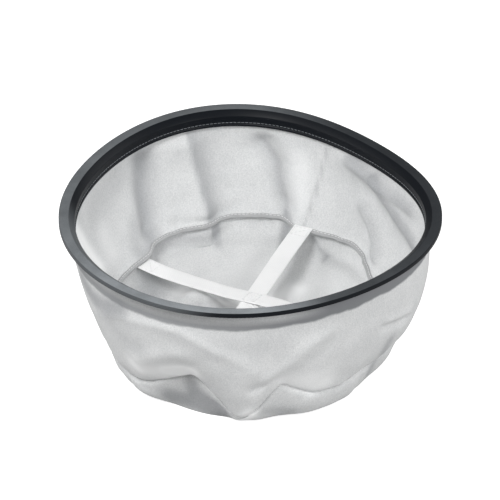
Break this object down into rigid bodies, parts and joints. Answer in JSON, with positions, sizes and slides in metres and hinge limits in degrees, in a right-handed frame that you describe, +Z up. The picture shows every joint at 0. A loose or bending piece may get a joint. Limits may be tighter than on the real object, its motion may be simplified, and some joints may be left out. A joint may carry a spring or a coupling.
{
  "type": "dust collector filter bag",
  "caption": "Round cloth filter bag under a moulded rubber rim with cross straps sewn over its bottom seam, for the mouth of a drum-type dust collector.",
  "frame": {"origin": "on the ground, below the middle of the rim; the bag stands on its bottom at z = 0", "axes": "+Z up through the mouth, +Y towards the back of the bag, where the side seam lies, +X to the right"},
  "size_m": [0.3799, 0.38, 0.16],
  "materials": {
    "rim_rubber": "matt moulded rubber",
    "felt": "calendered non-woven polyester felt",
    "binding": "thin binding tape",
    "webbing": "flat woven polyester webbing",
    "grey_thread": "twisted polyester thread",
    "white_thread": "twisted polyester thread"
  },
  "bodies": {
    "root": {"rim_seal": "rim_rubber", "wall_cloth": "felt", "bottom_cloth": "felt", "seam_tape": "binding", "upper_strap": "webbing", "lower_strap": "webbing", "rim_stitching": "grey_thread", "side_seam_stitching": "white_thread", "bottom_seam_stitching": "white_thread", "strap_end_stitching": "white_thread", "cross_stitching": "white_thread"}
  },
  "joints": []
}
